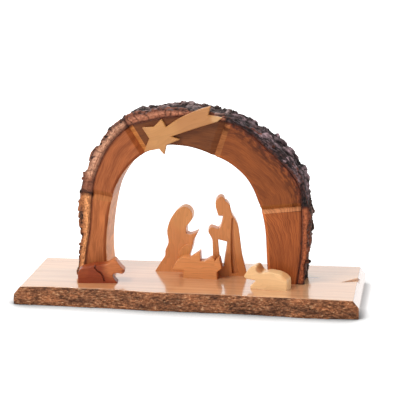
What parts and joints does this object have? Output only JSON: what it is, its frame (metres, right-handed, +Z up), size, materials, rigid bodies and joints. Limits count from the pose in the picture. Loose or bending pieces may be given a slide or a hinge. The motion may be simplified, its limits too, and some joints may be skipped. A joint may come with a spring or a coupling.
{
  "type": "wooden nativity stable",
  "caption": "Free-standing nativity scene: a bark-edged wooden arch on a live-edge slab, with a comet on the arch and cut-out figures, manger and sheep under it.",
  "frame": {"origin": "centre of the bounding box at the slab's underside, where the object rests", "axes": "+Z up, +X along the slab to the viewer's right, +Y from the bark edge in front to the sawn edge at the back"},
  "size_m": [0.25, 0.105, 0.143],
  "materials": {
    "slab_wood": "glossy clear varnish",
    "slab_bark": "rough",
    "arch_wood": "satin oil",
    "sawn_bark": "sawn edge, rough back",
    "grey_bark": "rough",
    "figure_wood": "satin oil",
    "pale_wood": "satin oil",
    "dark_wood": "satin oil",
    "dowel_wood": "plain",
    "screw_steel": "zinc plated"
  },
  "bodies": {
    "root": {"base_board": "slab_wood", "base_bark": "slab_bark", "arch_left_leg": "arch_wood", "arch_left_haunch": "arch_wood", "arch_crown": "arch_wood", "arch_right_haunch": "arch_wood", "arch_right_leg": "arch_wood", "bark_left_leg": "sawn_bark", "bark_left_haunch": "sawn_bark", "bark_crown": "sawn_bark", "bark_right_haunch": "grey_bark", "bark_right_leg": "grey_bark", "joint_dowels": "dowel_wood", "leg_screws": "screw_steel", "comet": "pale_wood", "kneeling_figure": "figure_wood", "standing_figure": "figure_wood", "manger": "figure_wood", "sheep_left": "dark_wood", "sheep_right": "pale_wood"}
  },
  "joints": []
}
